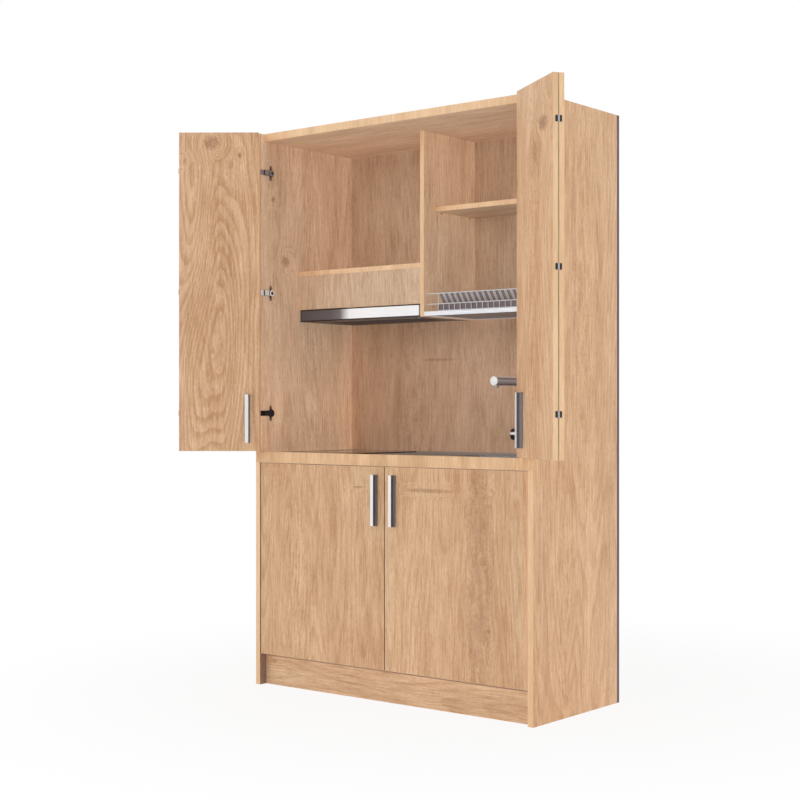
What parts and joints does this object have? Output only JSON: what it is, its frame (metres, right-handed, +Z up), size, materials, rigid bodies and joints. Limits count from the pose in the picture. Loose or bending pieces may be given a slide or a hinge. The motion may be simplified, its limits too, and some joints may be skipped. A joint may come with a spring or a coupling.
{
  "type": "kitchenette unit with sink and hob",
  "caption": "Tall wood-decor kitchenette cabinet with folding upper doors, hinged lower doors, steel worktop with sink, hob, mixer tap, pull-out hood and dish drainer.",
  "frame": {"origin": "on the floor, at the middle of the rear face that stands against the wall", "axes": "+Z up, +Y to the wall, +X to the right seen from the front"},
  "size_m": [1.6884, 0.7613, 2.07],
  "materials": {
    "oak_decor": "oak decor board, matt, straight grain with a few knots",
    "oak_edge": "pale oak edge band, matt",
    "satin_steel": "brushed stainless steel",
    "bright_steel": "polished stainless steel",
    "hinge_steel": "nickel-plated steel",
    "chrome": "chrome plated",
    "aluminium": "satin anodised",
    "black_metal": "black, satin",
    "dark_glass": "black ceramic glass",
    "grey_plastic": "moulded",
    "black_plastic": "moulded",
    "white_plastic": "moulded",
    "opal_plastic": "opal diffuser"
  },
  "bodies": {
    "root": {"left_side_panel": "oak_decor", "right_side_panel": "oak_decor", "back_panel": "oak_decor", "top_panel": "oak_decor", "bottom_panel": "oak_decor", "plinth": "oak_decor", "lower_divider": "oak_decor", "upper_divider": "oak_decor", "lower_shelf": "oak_decor", "right_shelf": "oak_decor", "hood_shelf": "oak_decor", "hood_front_panel": "oak_decor", "front_rail": "oak_edge", "steel_worktop": "satin_steel", "sink_bowl": "satin_steel", "hood_body": "satin_steel", "plate_rack": "bright_steel", "tap_body": "chrome", "grease_filter": "aluminium", "drainer_frame": "aluminium", "hob_glass": "dark_glass", "hob_body": "black_metal", "left_side_hinge_bottom": "black_metal", "right_side_hinge_bottom": "black_metal", "left_side_hinge_top": "hinge_steel", "left_side_hinge_middle": "hinge_steel", "right_side_hinge_top": "hinge_steel", "right_side_hinge_middle": "hinge_steel", "lower_left_hinge_top": "hinge_steel", "lower_left_hinge_bottom": "hinge_steel", "lower_right_hinge_top": "hinge_steel", "lower_right_hinge_bottom": "hinge_steel", "sink_trap": "white_plastic", "hood_motor": "black_plastic", "hood_lamp": "opal_plastic"},
    "left_outer_leaf": {"left_outer_leaf": "oak_decor", "left_fold_hinge_top": "black_metal", "left_fold_hinge_middle": "black_metal", "left_fold_hinge_bottom": "black_metal"},
    "left_inner_leaf": {"left_inner_leaf": "oak_decor", "left_upper_handle": "aluminium"},
    "lower_left_door": {"lower_left_door": "oak_decor", "lower_left_handle": "aluminium"},
    "right_outer_leaf": {"right_outer_leaf": "oak_decor", "right_fold_hinge_top": "black_metal", "right_fold_hinge_middle": "black_metal", "right_fold_hinge_bottom": "black_metal"},
    "right_inner_leaf": {"right_inner_leaf": "oak_decor", "right_upper_handle": "aluminium"},
    "lower_right_door": {"lower_right_door": "oak_decor", "lower_right_handle": "aluminium"},
    "tap_spout": {"tap_spout": "chrome"},
    "tap_knob": {"tap_knob": "chrome"},
    "hood_visor": {"hood_visor": "bright_steel"},
    "hood_fan": {"hood_fan": "grey_plastic"},
    "fan_button": {"fan_button": "grey_plastic"},
    "lamp_button": {"lamp_button": "grey_plastic"},
    "drip_tray": {"drip_tray": "satin_steel"},
    "sink_strainer": {"sink_strainer": "bright_steel"}
  },
  "joints": [
    {"name": "left_outer_hinge", "type": "hinge", "parent": "root", "child": "left_outer_leaf", "pos_m": [-0.6027, -0.545, 1.4725], "axis": [0, 0, 1], "range_deg": [0, 141.5]},
    {"name": "left_fold_hinge", "type": "hinge", "parent": "left_outer_leaf", "child": "left_inner_leaf", "pos_m": [-0.82659, -0.74737, 1.4725], "axis": [0, 0, -1], "range_deg": [0, 180]},
    {"name": "right_outer_hinge", "type": "hinge", "parent": "root", "child": "right_outer_leaf", "pos_m": [0.6027, -0.545, 1.4725], "axis": [0, 0, -1], "range_deg": [0, 146]},
    {"name": "right_fold_hinge", "type": "hinge", "parent": "right_outer_leaf", "child": "right_inner_leaf", "pos_m": [0.84178, -0.72918, 1.4725], "axis": [0, 0, 1], "range_deg": [0, 180]},
    {"name": "lower_left_door_hinge", "type": "hinge", "parent": "root", "child": "lower_left_door", "pos_m": [-0.601, -0.545, 0.475], "axis": [0, 0, -1], "range_deg": [0, 110]},
    {"name": "lower_right_door_hinge", "type": "hinge", "parent": "root", "child": "lower_right_door", "pos_m": [0.601, -0.545, 0.475], "axis": [0, 0, 1], "range_deg": [0, 110]},
    {"name": "spout_swivel", "type": "hinge", "parent": "root", "child": "tap_spout", "pos_m": [0.289, -0.075, 1], "axis": [0, 0, 1], "range_deg": [-60, 60]},
    {"name": "tap_knob_turn", "type": "hinge", "parent": "root", "child": "tap_knob", "pos_m": [0.25, -0.075, 0.943], "axis": [-1, 0, 0], "range_deg": [0, 110]},
    {"name": "hood_visor_slide", "type": "slide", "parent": "root", "child": "hood_visor", "axis": [0, -1, 0], "range_m": [0, 0.15]},
    {"name": "hood_fan_spin", "type": "hinge", "parent": "root", "child": "hood_fan", "pos_m": [-0.306, -0.1503, 1.45], "axis": [0, 0, 1], "continuous": true},
    {"name": "fan_button_press", "type": "slide", "parent": "root", "child": "fan_button", "axis": [0, 0, 1], "range_m": [0, 0.002], "stiffness_N_per_m": 300, "springref_m": -0.002},
    {"name": "lamp_button_press", "type": "slide", "parent": "root", "child": "lamp_button", "axis": [0, 0, 1], "range_m": [0, 0.002], "stiffness_N_per_m": 300, "springref_m": -0.002},
    {"name": "drip_tray_slide", "type": "slide", "parent": "root", "child": "drip_tray", "axis": [0, -1, 0], "range_m": [0, 0.18]},
    {"name": "strainer_lift", "type": "slide", "parent": "root", "child": "sink_strainer", "axis": [0, 0, 1], "range_m": [0, 0.012]}
  ],
  "couplings": [
    {"joint": "left_fold_hinge", "follows": "left_outer_hinge", "ratio": 1.2721},
    {"joint": "right_fold_hinge", "follows": "right_outer_hinge", "ratio": 1.2329}
  ]
}
